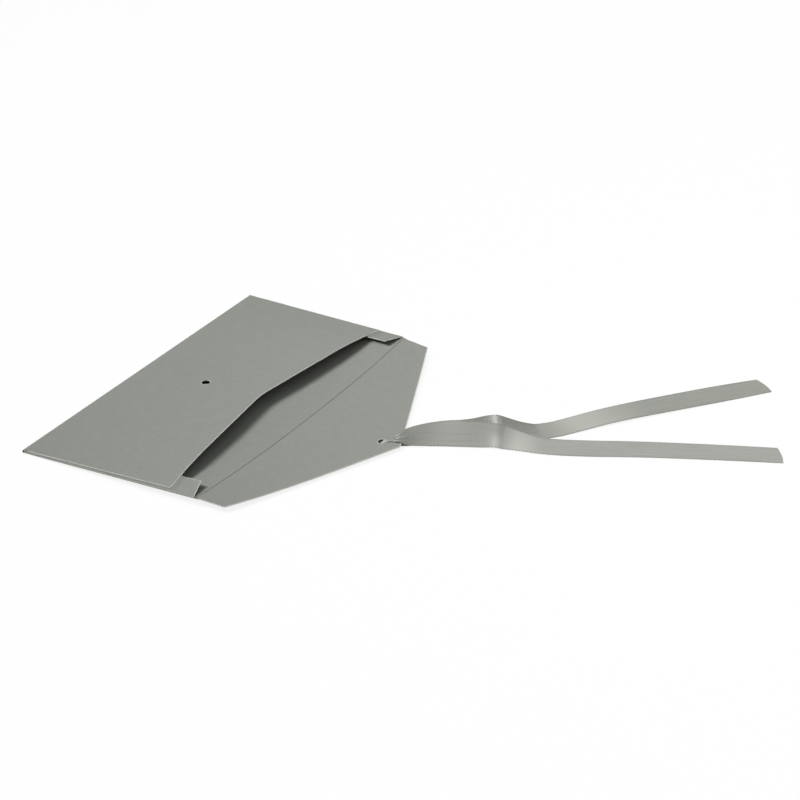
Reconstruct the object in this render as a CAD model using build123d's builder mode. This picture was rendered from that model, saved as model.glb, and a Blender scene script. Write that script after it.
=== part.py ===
"""A ribbon-tie envelope: a die-cut card pocket with an open pointed flap and a ribbon threaded through it.

Frame: +X across the width, +Y from the bottom fold to the point of the flap, +Z up. The origin is on
the table under the middle of the card. The envelope lies on its back panel with its mouth gaping.
"""

import os

from build123d import *

# Card sheet, millimetres
CARD = 0.4
WIDTH = 220.0
MOUTH_WIDTH = 213.0
DEPTH = 110.0
FLAP_DEPTH = 60.4
HOLE_DIAMETER = 5.0

# Folds and glue
FOLD_GAP = 0.1
GLUE = 0.45
GLUE_CLEARANCE = 0.18
CREASE_WIDTH = 2.0
CREASE_CARD = 0.25
CREASE_CLEARANCE = 0.05

# Gape of the pocket, measured at the mouth crease
BACK_FLAT_WIDTH = 30.0
SIDE_LIFT = 4.4
FRONT_FLAT_WIDTH = 124.0
FRONT_RISE = 9.6

# Front panel outline
FRONT_BOTTOM_INSET = 0.3
FRONT_MOUTH_INSET = 1.6
FRONT_CORNER_SETBACK = 16.0
FRONT_CORNER_RADIUS = 1.0
NOTCH_DEPTH = 13.3
NOTCH_RADIUS = 55.0
FRONT_HOLE_FROM_BOTTOM = 43.8

# Side flaps, folded in from the back panel
SIDE_FLAP_WIDTH = 13.2
SIDE_FLAP_TOP_SLANT = 4.1
SIDE_FLAP_BOTTOM_GAP = 6.0
SIDE_FLAP_BOTTOM_SLANT = 5.0
GLUE_EDGE_MARGIN = 2.0
GLUE_END_MARGIN = 6.0

# Closing flap
FLAP_ROOT_INSET = 0.9
FLAP_CORNER_INSET = 2.2
FLAP_SIDE_LENGTH = 16.9
FLAP_TIP_LIFT = 2.0
FLAP_TIP_RADIUS = 1.0
FLAP_HOLE_FROM_TIP = 11.4

# Ribbon
RIBBON_THICKNESS = 0.4
GATHER_WIDTH = 3.6
GATHER_THICKNESS = 0.6
GATHER_CLEARANCE = 0.3
GATHER_LEG = 3.0

# Route of each loose end: pairs of points on its near edge and its far edge. The two ends lean back one on
# the other as far as a shared crease. There the upper one twists down flat, and the lower one drops away.
UPPER_ROUTE = [
    ((0.5, 81.4, 3.1), (-2.6, 79.6, 4.3)),
    ((-0.7, 85.8, 2.8), (-9.7, 80.4, 5.6)),
    ((-6.2, 91.3, 1.6), (-16.0, 84.2, 7.0)),
    ((-12.0, 97.9, 0.8), (-22.4, 90.5, 8.0)),
    ((-16.7, 105.2, 0.5), (-28.0, 98.8, 9.5)),
    ((-20.8, 112.8, 0.4), (-32.1, 106.8, 9.9)),
    ((-26.0, 122.3, 0.4), (-38.3, 116.0, 8.5)),
    ((-28.7, 128.2, 0.4), (-41.6, 122.4, 7.8)),
    ((-30.4, 132.2, 0.4), (-44.2, 126.8, 6.2)),
    ((-33.3, 140.4, 0.4), (-48.5, 135.9, 2.8)),
    ((-35.5, 149.0, 0.4), (-50.7, 144.4, 1.4)),
    ((-40.4, 161.0, 0.3), (-54.8, 154.2, 1.0)),
    ((-47.9, 175.3, 0.3), (-61.7, 167.4, 1.0)),
    ((-60.4, 196.0, 0.3), (-74.1, 188.0, 0.9)),
    ((-71.9, 217.3, 0.3), (-86.0, 210.0, 0.7)),
    ((-86.7, 245.8, 0.3), (-100.8, 238.5, 0.5)),
    ((-96.9, 266.5, 0.3), (-109.9, 257.5, 0.5)),
]
LOWER_ROUTE = [
    ((-1.0, 81.4, 0.5), (-4.8, 81.4, 0.5)),
    ((-4.5, 86.5, 0.3), (-10.5, 82.5, 1.2)),
    ((-9.4, 92.4, 0.3), (-18.5, 86.0, 4.6)),
    ((-16.0, 100.6, 0.3), (-27.2, 93.4, 7.2)),
    ((-20.0, 108.3, 0.4), (-30.8, 102.2, 9.0)),
    ((-24.7, 115.6, 0.9), (-36.3, 109.4, 9.8)),
    ((-31.1, 122.2, 1.9), (-43.7, 116.1, 9.9)),
    ((-34.9, 126.8, 1.8), (-46.4, 119.6, 10.1)),
    ((-37.8, 130.9, 1.3), (-48.7, 122.4, 8.6)),
    ((-45.7, 140.7, 0.4), (-55.7, 128.6, 4.1)),
    ((-53.6, 149.0, 0.3), (-61.1, 135.1, 1.7)),
    ((-58.5, 151.6, 0.3), (-66.5, 137.9, 0.6)),
    ((-66.5, 156.7, 0.3), (-75.0, 143.3, 0.3)),
    ((-90.3, 172.3, 0.3), (-99.5, 159.2, 0.5)),
    ((-120.5, 194.4, 0.3), (-130.1, 181.8, 1.3)),
    ((-150.8, 217.3, 0.3), (-160.3, 204.6, 1.3)),
    ((-167.5, 229.3, 0.3), (-174.4, 216.8, 1.2)),
]

# Places worked out from those sizes
BOTTOM_Y = -(DEPTH + FLAP_DEPTH) / 2
CREASE_Y = BOTTOM_Y + DEPTH
TIP_Y = CREASE_Y + FLAP_DEPTH
FRONT_STACK = CARD + FOLD_GAP + CARD + GLUE
BOTTOM_FOLD_RADIUS = (FRONT_STACK + CARD) / 2
SIDE_FOLD_RADIUS = (CARD + FOLD_GAP + CARD) / 2
PANEL_START_Y = BOTTOM_Y + BOTTOM_FOLD_RADIUS
PANEL_END_Y = CREASE_Y - CREASE_WIDTH / 2
FLAP_START_Y = CREASE_Y + CREASE_WIDTH / 2


def across(y):
    """The upright plane across the envelope at y, with its own x along X and its own y along Z."""
    return Plane.XZ.offset(-y)


def panel_half(y):
    """Half the width of the card at y, out to where its side folds begin. It narrows to the crease."""
    share = min((y - PANEL_START_Y) / (PANEL_END_Y - PANEL_START_Y), 1)
    return (WIDTH + share * (MOUTH_WIDTH - WIDTH)) / 2 - SIDE_FOLD_RADIUS


def edge_curve(inner, outer):
    """From the flat middle to a side edge: straight where level, else an arc that leaves it level."""
    if inner[1] == outer[1]:
        return Line(inner, outer)
    return TangentArc(inner, outer, tangent=(outer[0] - inner[0], 0))


def side_section(side, flat_width, thickness, y, middle_z, edge_z):
    """One side of a sheet, cut across at y, from its flat middle out to its edge."""
    inner, outer = side * flat_width / 2, side * panel_half(y)
    with BuildSketch(across(y)) as section:
        with BuildLine():
            edge_curve((inner, middle_z), (outer, edge_z))
            Line((outer, edge_z), (outer, edge_z + thickness))
            edge_curve((inner, middle_z + thickness), (outer, edge_z + thickness))
            Line((inner, middle_z), (inner, middle_z + thickness))
        make_face()
    return section.sketch


def middle_section(flat_width, thickness, y, middle_z, edge_z):
    """The flat middle of a sheet, cut across at y."""
    with BuildSketch(across(y)) as section:
        with Locations((0, middle_z)):
            Rectangle(flat_width, thickness, align=(Align.CENTER, Align.MIN))
    return section.sketch


def bowed_sheet(flat_width, thickness, *ends):
    """Add a sheet with a flat middle and curving sides. Each end is a y, a middle z and an edge z."""
    loft(sections=[middle_section(flat_width, thickness, *end) for end in ends], ruled=True)
    for side in (-1, 1):
        loft(sections=[side_section(side, flat_width, thickness, *end) for end in ends], ruled=True)


def front_sheet(drop, thickness):
    """Add a sheet that follows the front panel, lowered by drop below its underside."""
    level = FRONT_STACK - drop
    rise = FRONT_RISE - drop
    bowed_sheet(
        FRONT_FLAT_WIDTH,
        thickness,
        (PANEL_START_Y, level, level),
        (PANEL_END_Y, rise, SIDE_LIFT + level),
    )


def side_fold_section(y, lift):
    """The half ring of card at the right-hand side fold, joining back panel and side flap."""
    with BuildSketch(across(y)) as section:
        with Locations((panel_half(y), lift + SIDE_FOLD_RADIUS)):
            Circle(SIDE_FOLD_RADIUS)
            Circle(FOLD_GAP / 2, mode=Mode.SUBTRACT)
            Rectangle(WIDTH, WIDTH, align=(Align.MAX, Align.CENTER), mode=Mode.SUBTRACT)
    return section.sketch


def ribbon_section(edges, ahead):
    """A thin rectangle between the ribbon's two edges, square to the way that it runs."""
    near, far = Vector(*edges[0]), Vector(*edges[1])
    side = far - near
    square = ahead - side * (ahead.dot(side) / side.dot(side))
    with BuildSketch(Plane((near + far) * 0.5, x_dir=side, z_dir=square)) as section:
        Rectangle(side.length, RIBBON_THICKNESS)
    return section.sketch


def ribbon_sections(start_z, route):
    """Sections of a loose end, from a leg of the gather at start_z along pairs of edge points."""
    half = GATHER_WIDTH / 2
    stations = [((half, gather_end_y, start_z), (-half, gather_end_y, start_z))] + route
    middles = [(Vector(*near) + Vector(*far)) * 0.5 for near, far in stations]
    sections = [ribbon_section(stations[0], Vector(0, 1, 0))]
    for before, edges, after in zip(middles, stations[1:], middles[2:] + middles[-1:]):
        sections.append(ribbon_section(edges, after - before))
    return sections


# Back panel: level along the bottom fold and in its middle, with its two sides lifting towards the mouth
with BuildPart() as back_panel:
    bowed_sheet(BACK_FLAT_WIDTH, CARD, (PANEL_START_Y, 0, 0), (PANEL_END_Y, 0, SIDE_LIFT))

# Front panel: folded up along the bottom, bulged, tapered in plan, with a shallow V cut in its mouth edge
front_corner_y = CREASE_Y - FRONT_CORNER_SETBACK
notch_y = front_corner_y - NOTCH_DEPTH
front_slope = (FRONT_RISE - FRONT_STACK) / (PANEL_END_Y - PANEL_START_Y)
front_hole_y = BOTTOM_Y + FRONT_HOLE_FROM_BOTTOM
front_hole_z = FRONT_STACK + front_slope * (front_hole_y - PANEL_START_Y)
front_bottom_half = WIDTH / 2 - FRONT_BOTTOM_INSET
front_mouth_half = panel_half(front_corner_y) + SIDE_FOLD_RADIUS - FRONT_MOUTH_INSET
with BuildPart() as front_panel:
    front_sheet(0, CARD)
    with BuildSketch() as front_outline:
        with BuildLine():
            Polyline(
                (-front_bottom_half, PANEL_START_Y),
                (front_bottom_half, PANEL_START_Y),
                (front_mouth_half, front_corner_y),
                (0, notch_y),
                (-front_mouth_half, front_corner_y),
                close=True,
            )
        make_face()
        fillet(front_outline.vertices().group_by(Axis.Y)[-1], FRONT_CORNER_RADIUS)
        fillet(front_outline.vertices().sort_by_distance((0, notch_y))[0], NOTCH_RADIUS)
    extrude(amount=DEPTH, mode=Mode.INTERSECT)
    with Locations(Plane((0, front_hole_y, front_hole_z), x_dir=(1, 0, 0), z_dir=(0, -front_slope, 1))):
        Hole(HOLE_DIAMETER / 2)
    with BuildSketch(Plane.YZ) as bottom_fold:
        with Locations((PANEL_START_Y, BOTTOM_FOLD_RADIUS)):
            Circle(BOTTOM_FOLD_RADIUS)
            Circle(BOTTOM_FOLD_RADIUS - CARD, mode=Mode.SUBTRACT)
            Rectangle(DEPTH, DEPTH, align=(Align.MIN, Align.CENTER), mode=Mode.SUBTRACT)
    extrude(amount=front_bottom_half, both=True)

# Side flaps: each turns over a side fold of the back panel and lies glued under the front panel
side_flap_bottom_y = BOTTOM_Y + SIDE_FLAP_BOTTOM_GAP
side_flap_inner_bottom_y = side_flap_bottom_y + SIDE_FLAP_BOTTOM_SLANT
side_flap_inner_top_y = PANEL_END_Y - SIDE_FLAP_TOP_SLANT
with BuildPart() as right_side_flap:
    front_sheet(GLUE + CARD, CARD)
    lifts = ((PANEL_START_Y, 0), (PANEL_END_Y, SIDE_LIFT))
    loft(sections=[side_fold_section(y, lift) for y, lift in lifts], ruled=True)
    with BuildSketch():
        with BuildLine():
            Polyline(
                (WIDTH, side_flap_bottom_y),
                (WIDTH, PANEL_END_Y),
                (panel_half(PANEL_END_Y), PANEL_END_Y),
                (panel_half(side_flap_inner_top_y) - SIDE_FLAP_WIDTH, side_flap_inner_top_y),
                (panel_half(side_flap_inner_bottom_y) - SIDE_FLAP_WIDTH, side_flap_inner_bottom_y),
                (panel_half(side_flap_bottom_y), side_flap_bottom_y),
                close=True,
            )
        make_face()
    extrude(amount=DEPTH, mode=Mode.INTERSECT)

with BuildPart() as left_side_flap:
    mirror(right_side_flap.part, about=Plane.YZ)

# Glue film between each side flap and the front panel
glue_top_y = front_corner_y - GLUE_END_MARGIN
glue_bottom_y = side_flap_inner_bottom_y + GLUE_END_MARGIN
glue_outer_inset = FRONT_MOUTH_INSET + GLUE_EDGE_MARGIN
glue_inner_inset = SIDE_FLAP_WIDTH - GLUE_EDGE_MARGIN
with BuildPart() as right_glue_strip:
    front_sheet(GLUE - GLUE_CLEARANCE, GLUE - 2 * GLUE_CLEARANCE)
    with BuildSketch():
        with BuildLine():
            Polyline(
                (panel_half(glue_bottom_y) - glue_outer_inset, glue_bottom_y),
                (panel_half(glue_top_y) - glue_outer_inset, glue_top_y),
                (panel_half(glue_top_y) - glue_inner_inset, glue_top_y),
                (panel_half(glue_bottom_y) - glue_inner_inset, glue_bottom_y),
                close=True,
            )
        make_face()
    extrude(amount=DEPTH, mode=Mode.INTERSECT)

with BuildPart() as left_glue_strip:
    mirror(right_glue_strip.part, about=Plane.YZ)

# Mouth crease: the score that the flap turns on, pressed thinner than the card beside it
crease_end_y = FLAP_START_Y - CREASE_CLEARANCE
with BuildPart() as mouth_crease:
    bowed_sheet(BACK_FLAT_WIDTH, CREASE_CARD, (PANEL_END_Y, 0, SIDE_LIFT), (crease_end_y, 0, SIDE_LIFT))

# Closing flap: bowed like the back panel where it leaves the crease, and straightening towards its point
flap_root_half = MOUTH_WIDTH / 2 - FLAP_ROOT_INSET
flap_corner_half = MOUTH_WIDTH / 2 - FLAP_CORNER_INSET
flap_corner_y = CREASE_Y + FLAP_SIDE_LENGTH
flap_slope = FLAP_TIP_LIFT / (TIP_Y - FLAP_START_Y)
flap_hole_y = TIP_Y - FLAP_HOLE_FROM_TIP
flap_hole_z = flap_slope * (flap_hole_y - FLAP_START_Y)
with BuildPart() as closing_flap:
    bowed_sheet(
        BACK_FLAT_WIDTH,
        CARD,
        (FLAP_START_Y, 0, SIDE_LIFT),
        (TIP_Y, FLAP_TIP_LIFT, FLAP_TIP_LIFT),
    )
    with BuildSketch() as flap_outline:
        with BuildLine():
            Polyline(
                (-flap_root_half, FLAP_START_Y),
                (flap_root_half, FLAP_START_Y),
                (flap_corner_half, flap_corner_y),
                (0, TIP_Y),
                (-flap_corner_half, flap_corner_y),
                close=True,
            )
        make_face()
        fillet(flap_outline.vertices().sort_by(Axis.Y)[-1], FLAP_TIP_RADIUS)
    extrude(amount=DEPTH, mode=Mode.INTERSECT)
    with Locations(Plane((0, flap_hole_y, flap_hole_z), x_dir=(1, 0, 0), z_dir=(0, -flap_slope, 1))):
        Hole(HOLE_DIAMETER / 2)

# Ribbon gather: the ribbon pinched narrow, passing through the flap's hole and back round its edge
gather_gap = CARD + 2 * GATHER_CLEARANCE
gather_outer = gather_gap / 2 + GATHER_THICKNESS
leg_offset = (gather_gap + GATHER_THICKNESS) / 2
gather_y = flap_hole_y + HOLE_DIAMETER / 2 - GATHER_CLEARANCE - gather_gap / 2
gather_z = flap_hole_z + CARD / 2
gather_end_y = gather_y + GATHER_LEG
with BuildPart() as ribbon_gather:
    with BuildSketch(Plane.YZ):
        with Locations((gather_y, gather_z)):
            Circle(gather_outer)
            Circle(gather_gap / 2, mode=Mode.SUBTRACT)
            Rectangle(DEPTH, DEPTH, align=(Align.MIN, Align.CENTER), mode=Mode.SUBTRACT)
        for side in (1, -1):
            with Locations((gather_y, gather_z + side * leg_offset)):
                Rectangle(GATHER_LEG, GATHER_THICKNESS, align=(Align.MIN, Align.CENTER))
    extrude(amount=GATHER_WIDTH / 2, both=True)

# Loose ends: the upper one leaves over the flap's point, the lower one under it
with BuildPart() as ribbon_upper_end:
    loft(sections=ribbon_sections(gather_z + leg_offset, UPPER_ROUTE), ruled=True)

with BuildPart() as ribbon_lower_end:
    loft(sections=ribbon_sections(gather_z - leg_offset, LOWER_ROUTE), ruled=True)

pieces = {
    "back_panel": back_panel,
    "front_panel": front_panel,
    "left_side_flap": left_side_flap,
    "right_side_flap": right_side_flap,
    "left_glue_strip": left_glue_strip,
    "right_glue_strip": right_glue_strip,
    "mouth_crease": mouth_crease,
    "closing_flap": closing_flap,
    "ribbon_gather": ribbon_gather,
    "ribbon_upper_end": ribbon_upper_end,
    "ribbon_lower_end": ribbon_lower_end,
}

os.makedirs("parts", exist_ok=True)
for name, piece in pieces.items():
    piece.part.label = name
    export_step(piece.part, f"parts/{name}.step")
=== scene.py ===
# %% [markdown]
# A ribbon-tie envelope
#
# The real object is one die-cut sheet of dyed card, folded and glued into a long pocket, with a satin
# ribbon drawn through a punched hole in its flap. The card comes ready-made as solids, each in its right
# place and size, so this lesson makes what those solids can't show: the ribbon as real woven cloth, the
# glue under the front, the pressed score that the flap turns on, the finish of every surface, and a
# photographer's white table.

# %% Load the solids
from math import pi, radians

import bpy
import numpy as np
from mathutils import Matrix, Vector
from mathutils.bvhtree import BVHTree


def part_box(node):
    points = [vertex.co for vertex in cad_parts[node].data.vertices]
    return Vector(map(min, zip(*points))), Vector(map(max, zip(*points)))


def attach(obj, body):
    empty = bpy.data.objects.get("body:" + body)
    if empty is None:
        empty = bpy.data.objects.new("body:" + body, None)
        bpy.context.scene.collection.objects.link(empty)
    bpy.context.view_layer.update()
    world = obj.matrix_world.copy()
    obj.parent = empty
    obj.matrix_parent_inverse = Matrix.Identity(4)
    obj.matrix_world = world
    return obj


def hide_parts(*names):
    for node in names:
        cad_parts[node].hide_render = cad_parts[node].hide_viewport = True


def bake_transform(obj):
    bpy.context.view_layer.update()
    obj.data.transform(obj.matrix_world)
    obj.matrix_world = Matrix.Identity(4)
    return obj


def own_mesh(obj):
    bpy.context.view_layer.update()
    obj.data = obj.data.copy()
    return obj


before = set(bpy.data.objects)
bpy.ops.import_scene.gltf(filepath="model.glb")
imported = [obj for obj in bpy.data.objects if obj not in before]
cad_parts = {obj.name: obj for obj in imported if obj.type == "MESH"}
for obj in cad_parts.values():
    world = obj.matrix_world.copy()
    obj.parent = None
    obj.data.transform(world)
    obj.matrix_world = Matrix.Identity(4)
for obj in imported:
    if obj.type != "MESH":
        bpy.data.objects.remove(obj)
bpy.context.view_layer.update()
scene = bpy.context.scene
scene.view_settings.view_transform = "Standard"
MM = 0.001
print("solids:", ", ".join(sorted(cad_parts)))


# %% [markdown]
# Small helpers
#
# Colours are written as the hex values that a picture editor shows, and Blender's shaders want linear
# light, so one function converts them. Another adds a shader node, with its settings and its links, in one
# line, which keeps the materials short enough to read from top to bottom. The last two start a material
# and put a mesh into the scene as a piece.

# %% Colour, node and piece helpers
def linear(hex_colour):
    """A hex sRGB colour as the linear colour, with alpha, that shader sockets take."""
    channels = [int(hex_colour[i : i + 2], 16) / 255 for i in (1, 3, 5)]
    return [c / 12.92 if c <= 0.04045 else ((c + 0.055) / 1.055) ** 2.4 for c in channels] + [1.0]


def add(tree, kind, links=(), settings=(), **values):
    """Add a node to a tree. links feed its inputs, settings are its options, values are input values."""
    node = tree.nodes.new("ShaderNode" + kind)
    for option, value in dict(settings).items():
        setattr(node, option, value)
    sockets = {socket.identifier: socket for socket in node.inputs}
    for name, value in values.items():
        socket = sockets.get(name) or node.inputs[name.replace("_", " ")]
        socket.default_value = value
    for name, source in dict(links).items():
        tree.links.new(source, sockets.get(name) or node.inputs[name])
    return node


def new_material(name):
    """An empty material: itself, its node tree, and the output that a shader is linked to."""
    material = bpy.data.materials.new(name)
    material.use_nodes = True
    material.node_tree.nodes.clear()
    return material, material.node_tree, material.node_tree.nodes.new("ShaderNodeOutputMaterial")


def add_piece(name, mesh):
    """A mesh as an object of the scene."""
    piece = bpy.data.objects.new(name, mesh)
    scene.collection.objects.link(piece)
    return piece


print("linear mid grey:", [round(c, 3) for c in linear("#808080")])


# %% [markdown]
# The camera
#
# The picture was taken from about a metre and a half away with a long lens, from the flap's side and
# a little under thirty degrees above the table. A camera can be placed by its own position and angles, but
# it is easier by the point it looks at: turn it by azimuth and elevation, then back it away along its own
# axis. The small roll is the photographer's.

# %% Camera
AZIMUTH = 120.19
ELEVATION = 28.93
ROLL = 0.96
DISTANCE = 1.4217
LENS_MM = 114.63
SENSOR_MM = 36
LOOK_AT = Vector((-0.0481, 0.0565, 0.0))

camera = bpy.data.objects.new("camera", bpy.data.cameras.new("camera"))
scene.collection.objects.link(camera)
turn = Matrix.Rotation(radians(AZIMUTH), 4, "Z") @ Matrix.Rotation(radians(90 - ELEVATION), 4, "X")
turn = turn @ Matrix.Rotation(radians(ROLL), 4, "Z")
camera.matrix_world = Matrix.Translation(LOOK_AT) @ turn @ Matrix.Translation((0, 0, DISTANCE))
camera.data.sensor_width = SENSOR_MM
camera.data.lens = LENS_MM
scene.camera = camera
print("camera at", [round(x, 3) for x in camera.matrix_world.translation])


# %% [markdown]
# The ribbon's route
#
# A ribbon is a flat band. A curve with a flat profile could draw it from one line down its middle, but such
# a band can't be pinched or leant over, so here each of its edges has a line of its own. Both loose ends
# leave the hole pinched together and fan out, leaning back one on the other. A sharp crease from the packet
# runs across both. Past it the upper end twists down flat, and the lower one drops to the table in a short
# ramp. Each row below is a pair of points, one on the near edge and one on the far edge, in millimetres.
# They are control points of smooth NURBS lines, which flow past them, so the crease and the foot of the
# ramp have a pair close on each side, which pulls the line into a sharp turn there.

# %% Route of the two loose ends
UPPER_ROUTE = [
    ((-1.7, 78.7, 2.7), (-2.7, 78.3, 3.6)),
    ((-2.3, 81.0, 2.8), (-2.8, 80.0, 5.7)),
    ((-3.2, 83.4, 2.8), (-4.0, 81.5, 7.4)),
    ((-4.0, 84.9, 1.9), (-6.9, 82.8, 8.3)),
    ((-5.4, 86.8, 0.7), (-10.9, 84.0, 8.5)),
    ((-8.6, 91.5, 0.4), (-16.8, 87.4, 8.6)),
    ((-13.0, 98.9, 0.4), (-23.4, 92.5, 8.6)),
    ((-16.7, 105.2, 0.4), (-28.0, 98.8, 9.3)),
    ((-20.8, 112.8, 0.4), (-32.1, 106.8, 9.9)),
    ((-26.0, 122.3, 0.4), (-38.3, 116.0, 8.5)),
    ((-27.7, 125.6, 0.8), (-40.3, 120.1, 8.0)),
    ((-28.5, 128.0, 1.0), (-41.5, 122.4, 7.8)),
    ((-29.2, 129.8, 0.7), (-42.6, 124.0, 7.2)),
    ((-29.8, 131.2, 0.4), (-43.8, 125.4, 6.3)),
    ((-31.5, 135.6, 0.4), (-45.9, 131.0, 4.4)),
    ((-33.8, 142.9, 0.4), (-48.1, 138.6, 2.5)),
    ((-35.9, 150.6, 0.4), (-50.4, 144.8, 1.3)),
    ((-40.4, 161.0, 0.3), (-55.0, 154.6, 1.0)),
    ((-47.9, 175.3, 0.3), (-61.7, 167.4, 1.0)),
    ((-60.4, 196.0, 0.3), (-74.1, 188.0, 0.9)),
    ((-71.9, 217.3, 0.3), (-86.0, 210.0, 0.7)),
    ((-86.7, 245.8, 0.3), (-100.8, 238.5, 0.5)),
    ((-96.9, 266.5, 0.3), (-109.9, 257.5, 0.5)),
]
LOWER_ROUTE = [
    ((0.9, 77.0, 1.0), (-1.2, 77.0, 1.0)),
    ((-1.6, 81.2, 0.5), (-5.2, 80.6, 0.6)),
    ((-5.6, 86.4, 0.3), (-11.0, 82.3, 1.2)),
    ((-10.2, 92.2, 0.3), (-18.9, 85.8, 4.4)),
    ((-16.6, 100.4, 0.3), (-27.4, 93.3, 7.2)),
    ((-20.2, 108.2, 0.4), (-30.9, 102.1, 8.8)),
    ((-24.7, 115.6, 0.9), (-36.3, 109.4, 9.5)),
    ((-30.6, 120.9, 1.7), (-42.6, 113.2, 9.4)),
    ((-33.7, 124.4, 1.9), (-44.9, 116.2, 9.7)),
    ((-34.4, 126.8, 2.2), (-45.1, 119.2, 10.8)),
    ((-35.2, 128.1, 2.0), (-46.2, 120.3, 10.2)),
    ((-36.8, 130.5, 1.5), (-48.1, 122.2, 9.0)),
    ((-39.4, 134.7, 0.9), (-51.0, 125.7, 7.0)),
    ((-42.3, 138.7, 0.5), (-54.1, 129.0, 5.0)),
    ((-46.9, 142.6, 0.4), (-58.6, 132.2, 2.7)),
    ((-49.8, 144.2, 0.4), (-61.4, 133.3, 1.4)),
    ((-51.2, 145.0, 0.3), (-62.7, 133.8, 0.8)),
    ((-53.7, 147.1, 0.3), (-64.5, 135.5, 0.6)),
    ((-59.5, 152.2, 0.3), (-69.4, 139.8, 0.5)),
    ((-66.5, 156.7, 0.5), (-75.0, 143.8, 0.8)),
    ((-90.3, 172.3, 1.3), (-99.5, 159.2, 1.6)),
    ((-120.5, 194.4, 0.6), (-130.1, 181.8, 1.6)),
    ((-150.8, 217.3, 0.3), (-160.3, 204.6, 1.3)),
    ((-167.5, 229.3, 0.3), (-174.4, 216.8, 1.2)),
]
STEPS_PER_POINT = 12


def smooth_line(points_mm):
    """Points along the NURBS line that has these control points, in metres."""
    curve = bpy.data.curves.new("route", "CURVE")
    curve.dimensions = "3D"
    curve.resolution_u = STEPS_PER_POINT
    spline = curve.splines.new("NURBS")
    spline.points.add(len(points_mm) - 1)
    for point, place in zip(spline.points, points_mm):
        point.co = (*[MM * x for x in place], 1)
    spline.order_u = 3
    spline.use_endpoint_u = True
    holder = bpy.data.objects.new("route", curve)
    line = bpy.data.meshes.new_from_object(holder)
    found = np.array([vertex.co for vertex in line.vertices])
    bpy.data.objects.remove(holder)
    bpy.data.meshes.remove(line)
    bpy.data.curves.remove(curve)
    return found


upper_edges = [smooth_line(edge) for edge in zip(*UPPER_ROUTE)]
lower_edges = [smooth_line(edge) for edge in zip(*LOWER_ROUTE)]
print("steps along the ends:", len(upper_edges[0]), len(lower_edges[0]))


# %% [markdown]
# The ribbon as cloth
#
# A woven ribbon can't stretch, so where its two edges come much closer than its width, the cloth between
# them bows out, the more so the more width is left over. Close to the hole there is far too much cloth for
# a bow, and it lies in small pleats instead. The scissors left each end cut in a slight curve. A cloth
# simulation would fold the ribbon in its own way, and here the folds are known, so the sheet is worked out
# row by row from the lines of its edges.

# %% Cloth between two edges
RIBBON_WIDTH = 15.9 * MM
ROWS_ACROSS = 24
ACROSS = np.linspace(0, 1, ROWS_ACROSS + 1)
PLEATS = 3
PLEAT_DEPTH = 0.3 * MM
PLEATED_LENGTH = 14 * MM
PLEATED_WIDTH = 3 * MM
BOW_LIMIT = 1.6 * MM
BOW_SPARE = 0.5
END_CURVE = 0.8 * MM
END_CURVE_REACH = 6 * MM


def smooth_step(share):
    """0 up to 0, 1 from 1 on, and a smooth rise between."""
    share = np.clip(share, 0, 1)
    return share * share * (3 - 2 * share)


def unit(vectors):
    """Vectors of length 1 that point the same way."""
    return vectors / np.linalg.norm(vectors, axis=-1, keepdims=True)


def run_along(line):
    """The distance along a line to each of its points."""
    return np.concatenate([[0], np.cumsum(np.linalg.norm(np.diff(line, axis=0), axis=1))])


def cloth_between(near, far, pleated_length, end_curve):
    """The ribbon's sheet, as a grid of points between two edge lines, and the line down its middle."""
    middle = (near + far) / 2
    along = unit(np.gradient(middle, axis=0))
    width_way = far - near
    chord = np.linalg.norm(width_way, axis=1)
    face = unit(np.cross(along, width_way))
    run = run_along(middle)
    pleated = 1 - smooth_step(run / pleated_length)
    spare = 1 - chord / RIBBON_WIDTH
    bow = BOW_LIMIT * smooth_step(spare / BOW_SPARE) * (1 - pleated)
    arch = 4 * ACROSS * (1 - ACROSS)
    folds = 0.5 - 0.5 * np.cos(2 * pi * PLEATS * ACROSS)
    depth = PLEAT_DEPTH * pleated * np.clip(chord / PLEATED_WIDTH, 0, 1)
    height = bow[:, None] * arch + depth[:, None] * folds
    sheet = near[:, None] + width_way[:, None] * ACROSS[None, :, None] + face[:, None] * height[:, :, None]
    past_cut = end_curve * smooth_step(1 - (run[-1] - run) / END_CURVE_REACH)
    return sheet + along[:, None] * (past_cut[:, None] * arch)[:, :, None], middle


upper_sheet, upper_middle = cloth_between(*upper_edges, PLEATED_LENGTH, END_CURVE)
lower_sheet, lower_middle = cloth_between(*lower_edges, PLEATED_LENGTH, END_CURVE)


# %% [markdown]
# From sheet to band
#
# Real ribbon is about a quarter of a millimetre thick, and its edge catches the light. A solidify modifier
# could thicken the sheet, but here each step along it becomes a ring of points, over the upper side and back
# under the lower one. That gives both sides the cloth's own layout, in metres along and across, which the
# weave will follow, and it tells which face is on which side, because satin has a right and a wrong side.
# Smooth shading must stop at the cut edges, so edges with a sharp turn are marked sharp.

# %% Ribbon bands
RIBBON_THICKNESS = 0.25 * MM
SHARP_TURN = radians(40)
OVER_AND_BACK = np.concatenate([ACROSS, ACROSS[::-1]]) * RIBBON_WIDTH


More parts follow.
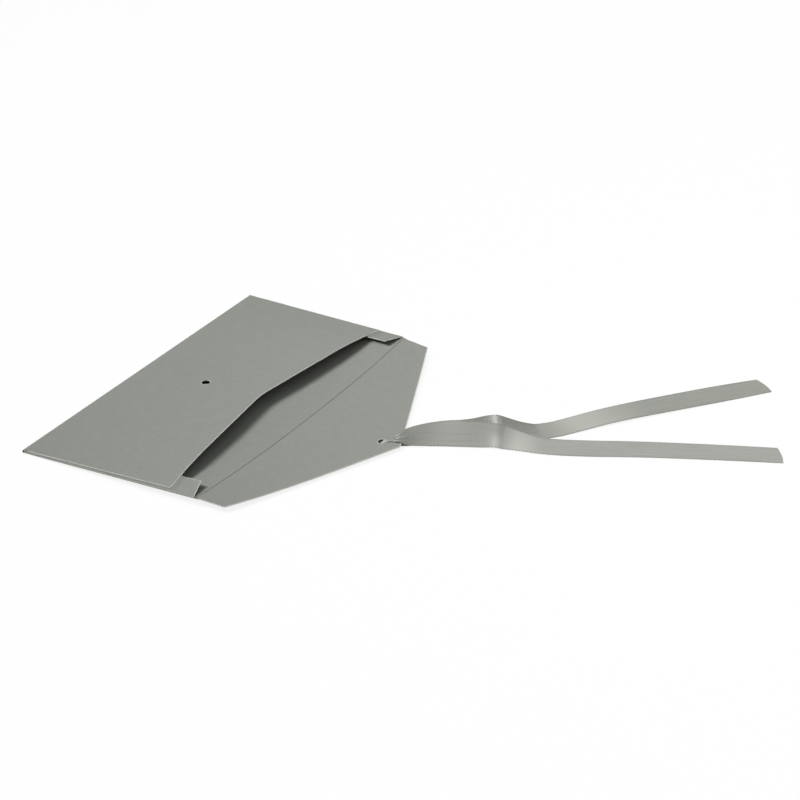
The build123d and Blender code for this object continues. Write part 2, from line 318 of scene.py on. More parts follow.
def closed_strip(name, rings, along, across, layout):
    """A closed mesh through rings of points, laid out by the distances along and across it."""
    steps, points = rings.shape[:2]
    quads = []
    for i in range(steps - 1):
        for j in range(points):
            k = (j + 1) % points
            quads.append((i * points + j, (i + 1) * points + j, (i + 1) * points + k, i * points + k))
    last = (steps - 1) * points
    for j in range(points // 2 - 1):
        cap = (j, j + 1, points - 2 - j, points - 1 - j)
        quads += [cap, tuple(last + p for p in reversed(cap))]
    mesh = bpy.data.meshes.new(name)
    mesh.from_pydata(rings.reshape(-1, 3).tolist(), [], quads)
    mesh.validate()
    layer = mesh.uv_layers.new(name=layout)
    for loop in mesh.loops:
        step, point = divmod(loop.vertex_index, points)
        layer.data[loop.index].uv = (along[step], across[point])
    return mesh


def ribbon_piece(name, sheet, middle, right_side):
    """A band of ribbon. right_side is 0 where the satin's right side is up, and 1 where it is down."""
    normal = unit(np.cross(np.gradient(sheet, axis=0), np.gradient(sheet, axis=1)))
    lift = normal * RIBBON_THICKNESS / 2
    rings = np.concatenate([sheet + lift, (sheet - lift)[:, ::-1]], axis=1)
    mesh = closed_strip(name, rings, run_along(middle), OVER_AND_BACK, "cloth")
    mesh.shade_smooth()
    mesh.set_sharp_from_angle(angle=SHARP_TURN)
    for polygon in mesh.polygons:
        side = int(min(corner % len(OVER_AND_BACK) for corner in polygon.vertices) > ROWS_ACROSS)
        polygon.material_index = int(side != right_side)
    return add_piece(name, mesh)


upper_end = ribbon_piece("upper_ribbon_end", upper_sheet, upper_middle, 0)
lower_end = ribbon_piece("lower_ribbon_end", lower_sheet, lower_middle, 1)
print("faces of the ends:", len(upper_end.data.polygons), len(lower_end.data.polygons))


# %% [markdown]
# Painted sheen at the creases
#
# The ribbon lay folded in a packet, and where it creased, the satin catches the light. That sheen is painted
# here as a paler colour, at the creases and along a stretch of the lower end: a painted highlight. This could
# be painted on a picture, but a value on each point of the mesh needs no picture and stays with the cloth.
# Each end lists its painted places: how far along they are, how far they fade out before and after, all in
# millimetres, and the share of the width that they cover.

# %% Painted sheen places
UPPER_PAINTED_SHEEN = [(58.5, 5, 4, 0.3), (71, 12, 15, 1.0)]
LOWER_PAINTED_SHEEN = [(63.5, 6, 2.5, 1.0), (112, 26, 45, 1.0)]
PAINTED_SHEEN_EDGE = 0.3


def paint_sheen(piece, middle, places):
    """Store the share of painted highlight at each point of a ribbon, from 0 to 1, and return the mean."""
    run, width_share = run_along(middle) / MM, OVER_AND_BACK / RIBBON_WIDTH
    highlight = np.zeros((len(run), len(width_share)))
    for peak, before, after, covered in places:
        off = run - peak
        lengthwise = smooth_step(1 - np.where(off < 0, -off / before, off / after))
        crosswise = smooth_step((covered + PAINTED_SHEEN_EDGE - width_share) / PAINTED_SHEEN_EDGE)
        highlight += lengthwise[:, None] * crosswise[None, :]
    values = np.clip(highlight, 0, 1).ravel().astype(np.float32)
    piece.data.attributes.new("painted_sheen", "FLOAT", "POINT").data.foreach_set("value", values)
    return float(values.mean())


upper_share = paint_sheen(upper_end, upper_middle, UPPER_PAINTED_SHEEN)
lower_share = paint_sheen(lower_end, lower_middle, LOWER_PAINTED_SHEEN)
# The printed share is that of the painted highlight on each end.
print("pressed share of the ends:", round(upper_share, 3), round(lower_share, 3))


# %% [markdown]
# The gather in the hole
#
# The ribbon is pulled through a hole a third of its own width, so here it is a small bundle of pleats that
# comes up through the hole and goes on over the card, and down through it and on under the card. It could be
# sculpted as a lump, but it is the same cloth, so the same functions make it, along a hairpin round the
# edge of the hole.

# %% Gather
GATHER_ROUTE = [
    ((-1.9, 79.3, 2.7), (-3.0, 78.6, 3.0)),
    ((-1.2, 77.4, 2.6), (-1.9, 77.2, 2.9)),
    ((0.6, 75.9, 2.2), (-1.3, 75.7, 2.3)),
    ((1.9, 74.9, 1.9), (-1.9, 74.9, 1.9)),
    ((1.9, 73.4, 1.8), (-1.9, 73.4, 1.8)),
    ((1.9, 73.3, 1.0), (-1.9, 73.3, 1.0)),
    ((1.6, 74.6, 0.9), (-1.6, 74.6, 0.9)),
    ((1.0, 78.0, 0.9), (-1.4, 78.0, 0.9)),
]
# Far longer than the gather itself, so that all of it is pleated.
GATHER_PLEATED = 10 * PLEATED_LENGTH
gather_edges = [smooth_line(edge) for edge in zip(*GATHER_ROUTE)]
gather_sheet, gather_middle = cloth_between(*gather_edges, GATHER_PLEATED, 0)
gather = ribbon_piece("ribbon_gather_pleats", gather_sheet, gather_middle, 1)
print("gather, mm long:", round(run_along(gather_middle)[-1] / MM, 2))


# %% [markdown]
# Hanging the ribbon on the flap
#
# The real ribbon is held only by the hole in the flap, and goes where the flap goes. So each of its pieces
# rides on the flap's body, takes the place of the plain solid that stood for it, and later gets the ribbon's
# satin finishes.

# %% Hang the ribbon on the flap
RIBBON_SOLIDS = {
    upper_end: "ribbon_upper_end",
    lower_end: "ribbon_lower_end",
    gather: "ribbon_gather",
}
for piece, node in RIBBON_SOLIDS.items():
    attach(piece, "flap")
    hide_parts(node)
print("pieces on the flap:", ", ".join(piece.name for piece in RIBBON_SOLIDS))


# %% [markdown]
# The ends when the flap is closed
#
# Folding the flap shut turns the ribbon over with it, and its loose ends then hang down over the front of
# the pocket to the table. Cloth simulation for every angle would be too much. For each end a plane is listed
# that slopes from the hole to the table, and each end gets a mesh of its own; the ends are not flattened
# onto these planes here.

# %% Planes for the closed ends
# Each end: a point of its plane at the hole, in millimetres, and how far the plane rises for each one along.
CLOSED_PLANES = {upper_end: ((0, 75.6, 2.6), 0.0425), lower_end: ((0, 77.0, 1.0), 0.0625)}
for piece, (start, slope) in CLOSED_PLANES.items():
    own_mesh(piece)


# %% [markdown]
# The glue under the front panel
#
# Each side flap is glued to the underside of the front panel. The solid is a plain thin strip, and real glue
# is pressed out until it fills the whole gap. The gap is bowed and tapered, so no ready shape fits it.
# Instead, rays are cast up to the front panel and down to the side flap on a grid of spots, and the glue
# fills the height between them. Its sides run straight through two guide rows, one near the bottom fold and
# one near the mouth. At the bottom fold it ends in a thin toe. At the mouth it rises in a lip against the
# front panel's cut edge and runs out on the side flap in a long thin fillet.

# %% Spots of glue
GLUE_MARGIN = 0.08 * MM
GLUE_FILLET = 3 * MM
GLUE_PROUD = 0.2 * MM
GLUE_TOE = 0.55 * MM
GLUE_LIP = 0.25 * MM
LIP_AHEAD = 0.2 * MM
GLUE_ROWS = 60
GLUE_COLUMNS = 12
SCAN_STEP = 0.1 * MM
GUIDE_FROM_FOLD = 20 * MM
GUIDE_AT_MOUTH = -5 * MM
UP, DOWN = Vector((0, 0, 1)), Vector((0, 0, -1))


def surface_of(name):
    """A solid's surface, ready for rays."""
    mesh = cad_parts[name].data
    return BVHTree.FromPolygons([v.co for v in mesh.vertices], [p.vertices for p in mesh.polygons])


def glue_spots(side_flap, side):
    """Spots between a side flap and the front panel: x, y, and the glue's lower and upper height."""
    flap, back, front = [surface_of(node) for node in (side_flap, "back_panel", "front_panel")]
    low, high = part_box(side_flap)

    def on_flap(x, y):
        return flap.ray_cast(Vector((x, y, 0)) + UP, DOWN)[0]

    def gap(x, y):
        """The height of the card below and of the front panel above, or None where there is no gap."""
        below = [card.ray_cast(Vector((x, y, 0)) + UP, DOWN)[0] for card in (flap, back)]
        bottom = max((hit.z for hit in below if hit), default=None)
        top = front.ray_cast(Vector((x, y, 0)) + DOWN, UP)[0]
        return (bottom, top.z) if top and bottom and top.z > bottom else None

    def reach(spots):
        """The first and last of some spots that have a gap, each a margin inside."""
        found = [np.array(spot) for spot in spots if gap(*spot)]
        inward = (found[-1] - found[0]) / np.linalg.norm(found[-1] - found[0]) * GLUE_MARGIN
        return found[0] + inward, found[-1] - inward

    inner, outer = (low.x, high.x) if side > 0 else (high.x, low.x)
    scan_x = np.arange(inner, outer, side * SCAN_STEP)
    scan_y = np.arange(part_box("front_panel")[0].y, high.y, SCAN_STEP)
    guides = (low.y + GUIDE_FROM_FOLD, GUIDE_AT_MOUTH)
    ends = [reach([(x, y) for x in scan_x if on_flap(x, y)]) for y in guides]
    columns = []
    for share in np.linspace(0, 1, GLUE_COLUMNS + 1):
        first, second = [a + share * (b - a) for a, b in ends]
        slope = (second[0] - first[0]) / (second[1] - first[1])
        start, end = reach([(first[0] + slope * (y - first[1]), y) for y in scan_y])
        spots = [start + t * (end - start) for t in np.linspace(0, 1, GLUE_ROWS + 1)]
        bed = [(*spot, *gap(*spot)) for spot in spots]
        toe_z = (bed[0][2] + bed[0][3]) / 2
        toe = (start[0], start[1] - GLUE_TOE, toe_z - GLUE_MARGIN, toe_z + GLUE_MARGIN)
        lip = (end[0], end[1] + LIP_AHEAD, bed[-1][2], bed[-1][3] + GLUE_LIP)
        ahead = [on_flap(end[0], end[1] + length) for length in np.arange(0, GLUE_FILLET, SCAN_STEP)]
        foot = [hit for hit in ahead if hit][-1]
        columns.append([toe, *bed, lip, (foot.x, foot.y, foot.z - GLUE_MARGIN, foot.z)])
    grid = np.array(columns)
    grid[-1, :, 0] += side * GLUE_PROUD
    return grid


SIDES = {"left": -1, "right": 1}
glue_grids = {name: glue_spots(name + "_side_flap", side) for name, side in SIDES.items()}
print("glue spots:", {name: grid.shape[:2] for name, grid in glue_grids.items()})


# %% [markdown]
# The glue as a bed
#
# The spots give the glue's lower and upper height. Filling the space between them with a boolean would need
# clean solids on both sides, so the bed is meshed straight from the grid: an under side, an upper side, and
# a wall round the rim. On the left the grid is a mirror image, which turns its faces inside out, so there
# they are flipped.

# %% Glue beds
def slab(name, grid):
    """A closed mesh between the lower and the upper heights of a grid of spots."""
    columns, rows = grid.shape[:2]
    count = columns * rows
    points = np.concatenate([grid[:, :, [0, 1, 2]].reshape(-1, 3), grid[:, :, [0, 1, 3]].reshape(-1, 3)])
    quads = []
    for i in range(columns - 1):
        for j in range(rows - 1):
            quad = (i * rows + j, i * rows + j + 1, (i + 1) * rows + j + 1, (i + 1) * rows + j)
            quads += [quad, tuple(count + p for p in reversed(quad))]
    rim = [i * rows for i in range(columns)]
    rim += [(columns - 1) * rows + j for j in range(1, rows)]
    rim += [i * rows + rows - 1 for i in range(columns - 2, -1, -1)]
    rim += list(range(rows - 2, 0, -1))
    quads += [(a, b, count + b, count + a) for a, b in zip(rim, rim[1:] + rim[:1])]
    mesh = bpy.data.meshes.new(name)
    mesh.from_pydata(points.tolist(), [], quads)
    mesh.validate()
    return mesh


glue_beds = []
for name, side in SIDES.items():
    bed = add_piece(name + "_glue_bed", slab(name + "_glue_bed", glue_grids[name]))
    if side < 0:
        bed.data.flip_normals()
    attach(bed, "pocket")
    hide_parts(name + "_glue_strip")
    glue_beds.append(bed)
print("glue beds:", [len(bed.data.polygons) for bed in glue_beds])


# %% [markdown]
# The score that the flap turns on
#
# A blunt steel rule presses a narrow groove into the card, so that it folds on a clean line. The solid here
# is only a thin plain strip. A groove could be cut into it with a boolean, but a real score bends: one edge
# stays with the pocket and the other goes with the flap. So it is made anew as a strip of many rows, with
# the groove pressed into its top, and follows the card, which is flat in the middle and bows up in an arc
# towards both sides. Here it is not tied to the pocket or the flap, so it does not bend.

# %% Pressed score
CARD = 0.4 * MM
FLAT_HALF = 15 * MM
SCORE_DEPTH = 0.15 * MM
SCORE_WIDTH = 0.7 * MM
SCORE_STEPS = 181
SCORE_ROWS = 25
score_low, score_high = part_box("mouth_crease")
pocket_edge, flap_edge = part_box("back_panel")[1].y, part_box("closing_flap")[0].y
side_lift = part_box("back_panel")[1].z - CARD
bow_reach = score_high.x - FLAT_HALF
bow_radius = (bow_reach**2 + side_lift**2) / (2 * side_lift)
score_x = np.linspace(score_low.x, score_high.x, SCORE_STEPS)
score_v = np.linspace(0, 1, SCORE_ROWS) * (flap_edge - pocket_edge)
past_flat = np.clip(np.abs(score_x) - FLAT_HALF, 0, None)
score_z = bow_radius - np.sqrt(bow_radius**2 - past_flat**2)
groove = np.clip(1 - np.abs(score_v - score_v[-1] / 2) / (SCORE_WIDTH / 2), 0, 1)
top = CARD - SCORE_DEPTH * smooth_step(groove)
over_and_back = np.concatenate([score_v, score_v[::-1]])
rings = np.empty((SCORE_STEPS, 2 * SCORE_ROWS, 3))
rings[:, :, 0] = score_x[:, None]
rings[:, :, 1] = pocket_edge + over_and_back
rings[:, :, 2] = score_z[:, None] + np.concatenate([top, np.zeros(SCORE_ROWS)])
score = add_piece("pressed_score", closed_strip("pressed_score", rings, score_x, over_and_back, "score"))
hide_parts("mouth_crease")
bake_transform(score)
print("score, mm across:", round(score_v[-1] / MM, 2), "side lift:", round(side_lift / MM, 2))


# %% [markdown]
# Where the card is cut or scored
#
# A die cut leaves the fibres standing at the edges of the card, and those loose ends look paler than its
# faces. The pale line drawn there is also a painted highlight, where the edges catch the light. The edges
# could be marked by hand on each mesh, but the shader can find them with a Bevel node: within its radius of
# a sharp edge, the normal that it gives turns away from the surface's own. Folds and the score are round or
# pressed, not cut, so they are left out. The side flaps are so narrow and bent that the direction of the
# turned normal is asked instead: along the flap at its ends, or inwards at its free side. The score has its
# own layout across, which places a painted shade along the bottom of the groove.

# %% Cut and pressed places
# The fibres stand up within about 0.1 mm of the cut. The pale line, of fibres and painted highlight, is
# drawn up to 0.9 mm wide, so that it shows.
CUT_MM = 0.9
BEVEL_SAMPLES = 8
MATCH_AT_CUT, MATCH_ON_FACE = 0.9, 0.995
LEAN_ON_FACE, LEAN_AT_CUT = 0.2, 0.4
FOLD_REACH = 3 * MM
SCORE_REACH = 2 * MM
FREE_SIDE_REACH = 6 * MM
GROOVE_FLOOR, GROOVE_SHOULDER = 0.15 * SCORE_WIDTH, 0.5 * SCORE_WIDTH
TIMES = {"operation": "MULTIPLY"}
SIZE_OF = {"operation": "ABSOLUTE"}


def cut_edges(tree):
    """1 close to the cut edges of a sheet, and 0 on its faces, at its bottom fold and along the score."""
    rounded = add(tree, "Bevel", settings={"samples": BEVEL_SAMPLES}, Radius=CUT_MM * MM)
    links = {0: rounded.outputs[0], 1: add(tree, "NewGeometry").outputs["Normal"]}
    match = add(tree, "VectorMath", links, {"operation": "DOT_PRODUCT"}).outputs["Value"]
    span = {"From_Min": MATCH_AT_CUT, "From_Max": MATCH_ON_FACE, "To_Min": 1.0, "To_Max": 0.0}
    edge = add(tree, "MapRange", {"Value": match}, **span)
    where = add(tree, "SeparateXYZ", {0: add(tree, "TexCoord").outputs["Object"]})
    fold_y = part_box("back_panel")[0].y + FOLD_REACH
    past_fold = add(tree, "Math", {0: where.outputs["Y"]}, {"operation": "GREATER_THAN"}, Value_001=fold_y)
    near_score = {"Value_001": (pocket_edge + flap_edge) / 2, "Value_002": SCORE_REACH}
    at_score = add(tree, "Math", {0: where.outputs["Y"]}, {"operation": "COMPARE"}, **near_score)
    off_score = add(tree, "Math", {1: at_score.outputs[0]}, {"operation": "SUBTRACT"}, Value=1.0)
    cut = add(tree, "Math", {0: past_fold.outputs[0], 1: off_score.outputs[0]}, TIMES)
    return add(tree, "Math", {0: edge.outputs[0], 1: cut.outputs[0]}, TIMES).outputs[0]


def cut_ends(tree):
    """1 close to the ends and the free side of a side flap, and 0 on its faces and at its fold."""
    rounded = add(tree, "Bevel", settings={"samples": BEVEL_SAMPLES}, Radius=CUT_MM * MM)
    facing = add(tree, "SeparateXYZ", {0: rounded.outputs[0]})
    where = add(tree, "SeparateXYZ", {0: add(tree, "TexCoord").outputs["Object"]})
    off_middle = add(tree, "Math", {0: where.outputs["X"]}, SIZE_OF)
    free_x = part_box("right_side_flap")[0].x + FREE_SIDE_REACH
    at_side = add(tree, "Math", {0: off_middle.outputs[0]}, {"operation": "LESS_THAN"}, Value_001=free_x)
    endways = add(tree, "Math", {0: facing.outputs["Y"]}, SIZE_OF)
    inways = add(tree, "Math", {0: facing.outputs["X"]}, SIZE_OF)
    free_side = add(tree, "Math", {0: inways.outputs[0], 1: at_side.outputs[0]}, TIMES)
    most = add(tree, "Math", {0: endways.outputs[0], 1: free_side.outputs[0]}, {"operation": "MAXIMUM"})
    span = {"From_Min": LEAN_ON_FACE, "From_Max": LEAN_AT_CUT}
    return add(tree, "MapRange", {"Value": most.outputs[0]}, **span).outputs[0]


def groove_shade_line(tree):
    """1 along the bottom of the pressed score, where shade is painted, and 0 on its shoulders."""
    layout = add(tree, "UVMap", settings={"uv_map": "score"})
    way = add(tree, "SeparateXYZ", {0: layout.outputs[0]})
    offset = add(tree, "Math", {0: way.outputs["Y"]}, {"operation": "SUBTRACT"}, Value_001=score_v[-1] / 2)
    distance = add(tree, "Math", {0: offset.outputs[0]}, SIZE_OF)
    span = {"From_Min": GROOVE_FLOOR, "From_Max": GROOVE_SHOULDER, "To_Min": 1.0, "To_Max": 0.0}
    return add(tree, "MapRange", {"Value": distance.outputs[0]}, **span).outputs[0]


print("pale cut line, mm:", CUT_MM, "score line, mm:", round(2 * GROOVE_FLOOR / MM, 2))


# %% [markdown]
# Dyed card
#
# The card is dyed in the pulp and left uncoated, so it is the same colour all through, quite matt, and very
# slightly cloudy where the fibres settled unevenly. Its faces are calendered to a fine tooth. A scan of
# paper could give this, but two noises do it at any size: a wide one for the clouds and a fine, twisted one
# for the fibres, which also gives the tooth.

# %% Card finishes
CARD_COLOUR = linear("#9EA19A")
CARD_SHADE = linear("#91948D")
# Pale cut fibres, with a painted highlight where the cut edges catch the light.
PALE_CUT_AND_HIGHLIGHT = linear("#DFE0DA")
# Painted shade along the bottom of the score's groove.
SCORE_GROOVE_SHADE = linear("#7C7F78")
CLOUD_MM = 5.0
CLOUD_SHARE = 0.25
# Fibres are about 1 mm long and 0.03 mm thick: drawn 0.6 mm across, so that they show in the render.
FIBRE_MM = 0.6
TOOTH_MM = 0.05
COLOURS = {"data_type": "RGBA"}


def card_finish(name, find_share=None, other_colour=None):
    """Card with fibre flecks and a fine tooth, and another colour where find_share says."""
    material, tree, output = new_material(name)
    place = add(tree, "TexCoord").outputs["Object"]
    cloud = add(tree, "TexNoise", {"Vector": place}, Scale=1 / (CLOUD_MM * MM), Detail=3.0)
    fibre = add(tree, "TexNoise", {"Vector": place}, Scale=1 / (FIBRE_MM * MM), Detail=4.0, Distortion=1.2)
    links = {0: cloud.outputs[0], 2: fibre.outputs[0]}
    both = add(tree, "Math", links, {"operation": "MULTIPLY_ADD"}, Value_001=CLOUD_SHARE)
    share = add(tree, "MapRange", {"Value": both.outputs[0]}, From_Min=0.4, From_Max=0.85)
    colour = add(tree, "Mix", {0: share.outputs[0]}, COLOURS, A_Color=CARD_SHADE, B_Color=CARD_COLOUR)
    if find_share:
        links = {0: find_share(tree), "A_Color": colour.outputs[2]}
        colour = add(tree, "Mix", links, COLOURS, B_Color=other_colour)
    tooth = add(tree, "Bump", {"Height": fibre.outputs[0]}, Strength=0.35, Distance=TOOTH_MM * MM)
    links = {"Base Color": colour.outputs[2], "Normal": tooth.outputs[0]}
    shader = add(tree, "BsdfPrincipled", links, Roughness=0.88, Specular_IOR_Level=0.2)
    tree.links.new(shader.outputs[0], output.inputs[0])
    return material


sheet_card = card_finish("uncoated_dyed_card")
cut_card = card_finish("die_cut_dyed_card", cut_edges, PALE_CUT_AND_HIGHLIGHT)
folded_card = card_finish("folded_dyed_card", cut_ends, PALE_CUT_AND_HIGHLIGHT)
scored_card = card_finish("scored_dyed_card", groove_shade_line, SCORE_GROOVE_SHADE)
print("card finishes:", sheet_card.name, cut_card.name, folded_card.name, scored_card.name)


# %% [markdown]
# Dried glue
#
# The glue is a white dispersion glue, which dries to a clear, nearly matt skin with a lumpy surface, and it
# lies so thin on the card that it takes the card's colour, a hair yellower. A see-through shader could show
# the card below it, but an opaque one in the card's own tones looks the same and leaves no noise.

# %% Glue finish
GLUE_COLOUR = linear("#9EA199")
GLUE_SHADE = linear("#91948C")
LUMP_MM = 2.5
LUMP_HEIGHT_MM = 0.1
glue, tree, output = new_material("dried_dispersion_glue")
place = add(tree, "TexCoord").outputs["Object"]
lumps = add(tree, "TexNoise", {"Vector": place}, Scale=1 / (LUMP_MM * MM), Detail=2.0)
tone = add(tree, "Mix", {0: lumps.outputs[0]}, COLOURS, A_Color=GLUE_SHADE, B_Color=GLUE_COLOUR)
skin = add(tree, "Bump", {"Height": lumps.outputs[0]}, Strength=0.6, Distance=LUMP_HEIGHT_MM * MM)
links = {"Base Color": tone.outputs[2], "Normal": skin.outputs[0]}
shader = add(tree, "BsdfPrincipled", links, Roughness=0.7, IOR=1.47, Specular_IOR_Level=0.2)
tree.links.new(shader.outputs[0], output.inputs[0])
print("glue lumps, mm:", LUMP_MM)


# %% [markdown]
# Woven satin
#
# The ribbon is polyester satin. Its long threads float over the cross threads, so light runs along it in
# soft streaks, and its shine is stretched across the threads. The cross threads show as very fine ribs, and
# each edge is a woven selvedge, a little denser and darker, with a row of tiny loops. A pattern in space
# would slide through the cloth where it twists, so this one follows the cloth's own layout, in metres along
# and across. The wrong side of satin is duller, and since the ribbon turns back at the hole, one loose end
# has its right side up and the other its wrong side.

# %% Satin finish
SATIN_COLOUR = linear("#A7A9A1")
SATIN_SHADE = linear("#888B83")
# The colour of the painted highlight at the creases.
PAINTED_SATIN_SHEEN = linear("#B4B6AE")
SELVEDGE_COLOUR = linear("#6F726A")
# Real threads are about 0.1 mm apart: the ribs are drawn at 0.75 mm and the streaks at 0.5 mm, so they show.
RIB_MM = 0.75
RIB_WEIGHT = 0.22
STREAK_MM = 0.5
STREAK_LENGTH_MM = 25.0
RELIEF_MM = 0.05
# A real selvedge is about 0.5 mm wide with a loop each 0.5 mm: drawn 1 mm wide with a loop each 2 mm.
SELVEDGE_MM = 1.0
LOOP_MM = 2.0
BETWEEN_LOOPS = 0.1


def satin_finish(name, gloss):
    """One side of a satin ribbon: streaks along the threads, fine ribs, looped selvedges and a painted
    highlight.
    """
    material, tree, output = new_material(name)
    cloth = add(tree, "UVMap", settings={"uv_map": "cloth"})
    way = add(tree, "SeparateXYZ", {0: cloth.outputs[0]})
    stretch = (1 / (STREAK_LENGTH_MM * MM), 1 / (STREAK_MM * MM), 1)
    threads = add(tree, "Mapping", {"Vector": cloth.outputs[0]}, Scale=stretch)
    streak = add(tree, "TexNoise", {"Vector": threads.outputs[0]}, Scale=1.0, Detail=2.0)
    turns = add(tree, "Math", {0: way.outputs["X"]}, TIMES, Value_001=2 * pi / (RIB_MM * MM))
    rib = add(tree, "Math", {0: turns.outputs[0]}, {"operation": "SINE"})
    links = {0: rib.outputs[0], 2: streak.outputs[0]}
    weave = add(tree, "Math", links, {"operation": "MULTIPLY_ADD"}, Value_001=RIB_WEIGHT)
    share = add(tree, "MapRange", {"Value": weave.outputs[0]}, From_Min=0.25, From_Max=0.75)
    woven = add(tree, "Mix", {0: share.outputs[0]}, COLOURS, A_Color=SATIN_SHADE, B_Color=SATIN_COLOUR)
    # Painted highlight: paler where the stored painted sheen says.
    painted_sheen = add(tree, "Attribute", settings={"attribute_name": "painted_sheen"})
    links = {0: painted_sheen.outputs["Fac"], "A_Color": woven.outputs[2]}
    with_sheen = add(tree, "Mix", links, COLOURS, B_Color=PAINTED_SATIN_SHEEN)
    other_side = add(tree, "Math", {1: way.outputs["Y"]}, {"operation": "SUBTRACT"}, Value=RIBBON_WIDTH)
    rim = add(tree, "Math", {0: way.outputs["Y"], 1: other_side.outputs[0]}, {"operation": "MINIMUM"})
    edge = add(tree, "MapRange", {"Value": rim.outputs[0]}, From_Max=SELVEDGE_MM * MM, To_Min=1.0, To_Max=0.0)
    turns = add(tree, "Math", {0: way.outputs["X"]}, TIMES, Value_001=2 * pi / (LOOP_MM * MM))
    loops = add(tree, "Math", {0: turns.outputs[0]}, {"operation": "SINE"})
    dots = add(tree, "MapRange", {"Value": loops.outputs[0]}, From_Min=-1.0, To_Min=BETWEEN_LOOPS)
    selvedge = add(tree, "Math", {0: edge.outputs[0], 1: dots.outputs[0]}, TIMES)
    links = {0: selvedge.outputs[0], "A_Color": with_sheen.outputs[2]}
    colour = add(tree, "Mix", links, COLOURS, B_Color=SELVEDGE_COLOUR)
    relief = add(tree, "Bump", {"Height": weave.outputs[0]}, Strength=0.25, Distance=RELIEF_MM * MM)
    run_of_threads = add(tree, "Tangent", settings={"direction_type": "UV_MAP", "uv_map": "cloth"})
    shader = add(
        tree,
        "BsdfPrincipled",
        {
            "Base Color": colour.outputs[2],
            "Normal": relief.outputs[0],
            "Tangent": run_of_threads.outputs[0],
        },
        Roughness=0.68,
        Anisotropic=0.8,
        Anisotropic_Rotation=0.25,
        IOR=1.7,
        Specular_IOR_Level=gloss,
        Sheen_Weight=0.05,
        Sheen_Roughness=0.4,
    )
    tree.links.new(shader.outputs[0], output.inputs[0])
    return material


satin = satin_finish("woven_polyester_satin", 1.0)
satin_back = satin_finish("polyester_satin_wrong_side", 0.5)
print("satin ribs, mm:", RIB_MM, "sides:", satin.name, satin_back.name)


# %% [markdown]
# Putting the finishes on
#
# On the real object the finish comes with the stuff that each piece is made of. Here each mesh has a list
# of materials. The solids come with plain ones, which are cleared away first. The panels with cut edges in
# plain sight get the pale cut line. A ribbon gets two finishes, one for each side of the satin, and its
# faces already know which of the two they take.

# %% Put the finishes on
FINISHES = {
    sheet_card: ("back_panel",),
    cut_card: ("front_panel", "closing_flap"),
    folded_card: ("left_side_flap", "right_side_flap"),
    scored_card: ("mouth_crease",),
    glue: ("left_glue_strip", "right_glue_strip"),
    satin: ("ribbon_gather", "ribbon_upper_end", "ribbon_lower_end"),
}
for finish, names in FINISHES.items():
    for name in names:
        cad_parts[name].data.materials.clear()
        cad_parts[name].data.materials.append(finish)
score.data.materials.append(scored_card)
for piece in RIBBON_SOLIDS:
    piece.data.materials.append(satin)
    piece.data.materials.append(satin_back)
for bed in glue_beds:
    bed.data.materials.append(glue)
print("finishes:", len(FINISHES))


# %% [markdown]
# The white table
#
# The background is plain white. A white floor under soft light is never quite white in a picture, and more
# light would bleach the envelope too, so what the camera sees of the floor is mostly a glow of strength 1,
# and the rest is the real floor with its shadow. The glow fades a little where something close above hides
# the sky, and all the way under the flap's hole, or it would shine out through it.

# %% Table
GLOW = 0.975
HIDDEN_WITHIN = 6 * MM
SKY_SAMPLES = 16
SKY_HIDDEN, SKY_OPEN = 0.45, 0.9
HOLE_FOOT = (-3 * MM, 72 * MM, 0)
HOLE_REACH = 8 * MM
HOLE_FADE = 0.8
CONTACT_SHADE = 0.12
TABLE_HALF = 4
# The table lies a hair below the envelope, so that the two faces don't flicker through each other.
TABLE_Z = -0.05 * MM
TABLE_CORNERS = [(x * TABLE_HALF, y * TABLE_HALF, 0) for x, y in ((-1, -1), (1, -1), (1, 1), (-1, 1))]
table_mesh = bpy.data.meshes.new("table")
table_mesh.from_pydata(TABLE_CORNERS, [], [(0, 1, 2, 3)])
table = add_piece("table", table_mesh)
table.location.z = TABLE_Z


def seen_rays(tree):
    """1 for a ray from the camera, or one that a shiny or clear surface sends on, and 0 for other light."""
    path = add(tree, "LightPath")
    links = {0: path.outputs["Is Camera Ray"], 1: path.outputs["Is Glossy Ray"]}
    seen = add(tree, "Math", links, {"operation": "MAXIMUM"})
    links = {0: seen.outputs[0], 1: path.outputs["Is Transmission Ray"]}
    return add(tree, "Math", links, {"operation": "MAXIMUM"}).outputs[0]


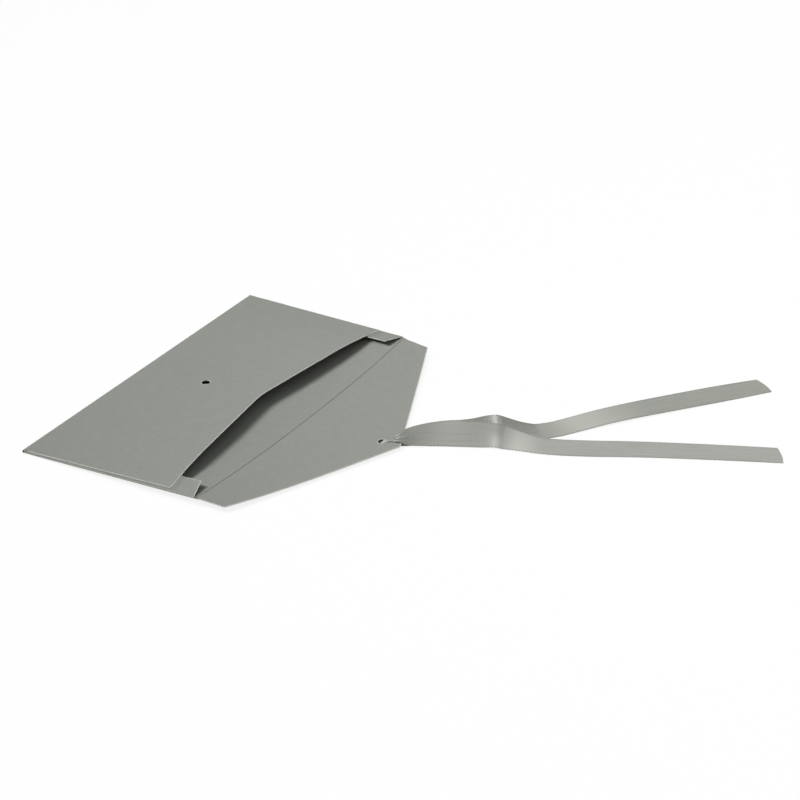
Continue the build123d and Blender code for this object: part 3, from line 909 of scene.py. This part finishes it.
paper, tree, output = new_material("matt_white_table")
diffuse = add(tree, "BsdfDiffuse", Color=linear("#F6F6F6"))
glow = add(tree, "Emission", Color=linear("#FFFFFF"), Strength=1.0)
sky = add(tree, "AmbientOcclusion", settings={"samples": SKY_SAMPLES}, Distance=HIDDEN_WITHIN)
span = {"From_Min": SKY_HIDDEN, "From_Max": SKY_OPEN, "To_Min": 1.0, "To_Max": 0.0}
hidden = add(tree, "MapRange", {"Value": sky.outputs["AO"]}, **span)
place = add(tree, "TexCoord").outputs["Object"]
off_hole = add(tree, "VectorMath", {0: place}, {"operation": "DISTANCE"}, Vector_001=HOLE_FOOT)
span = {"From_Min": HOLE_FADE * HOLE_REACH, "From_Max": HOLE_REACH, "To_Min": 1.0, "To_Max": CONTACT_SHADE}
darkest = add(tree, "MapRange", {"Value": off_hole.outputs["Value"]}, **span)
shade = add(tree, "Math", {0: hidden.outputs[0], 1: darkest.outputs[0]}, TIMES)
level = add(tree, "MapRange", {"Value": shade.outputs[0]}, To_Min=GLOW, To_Max=0.0)
share = add(tree, "Math", {0: seen_rays(tree), 1: level.outputs[0]}, TIMES)
mix = add(tree, "MixShader", {0: share.outputs[0], 1: diffuse.outputs[0], 2: glow.outputs[0]})
tree.links.new(mix.outputs[0], output.inputs[0])
table_mesh.materials.append(paper)
print("table glow:", GLOW)


# %% [markdown]
# Soft studio light
#
# The shadow under the mouth of the pocket is wide and soft, and falls towards the flap. A sun lamp would
# draw it hard, so the light is one large softbox, high up behind the envelope and a little to the side. It
# has a honeycomb grid and is aimed past the flap, so the ribbon gets a little more of its light than the
# bottom of the pocket. The white room fills in the rest. Together they light a level sheet to just about
# its written colour.

# %% Light
FILL = 0.24
KEY_WATTS = 7.6
KEY_SIZE = 1.15
KEY_FROM = Vector((0.345, -0.464, 0.816)).normalized()
KEY_DISTANCE = 2.2
KEY_SPREAD = radians(52)
KEY_AIM = Vector((-0.48, 0.73, 0.0))
world = bpy.data.worlds.new("studio")
scene.world = world
world.use_nodes = True
tree = world.node_tree
tree.nodes.clear()
level = add(tree, "MapRange", {"Value": seen_rays(tree)}, To_Min=FILL, To_Max=1.0)
room = add(tree, "Background", {"Strength": level.outputs[0]}, Color=linear("#FFFFFF"))
add(tree, "OutputWorld", {"Surface": room.outputs[0]})

softbox = bpy.data.lights.new("softbox", "AREA")
softbox.shape = "DISK"
softbox.size = KEY_SIZE
softbox.energy = KEY_WATTS
softbox.spread = KEY_SPREAD
lamp = bpy.data.objects.new("softbox", softbox)
scene.collection.objects.link(lamp)
lamp.location = KEY_DISTANCE * KEY_FROM
lamp.rotation_euler = (lamp.location - KEY_AIM).to_track_quat("Z", "Y").to_euler()
print("softbox at", [round(x, 2) for x in lamp.location])
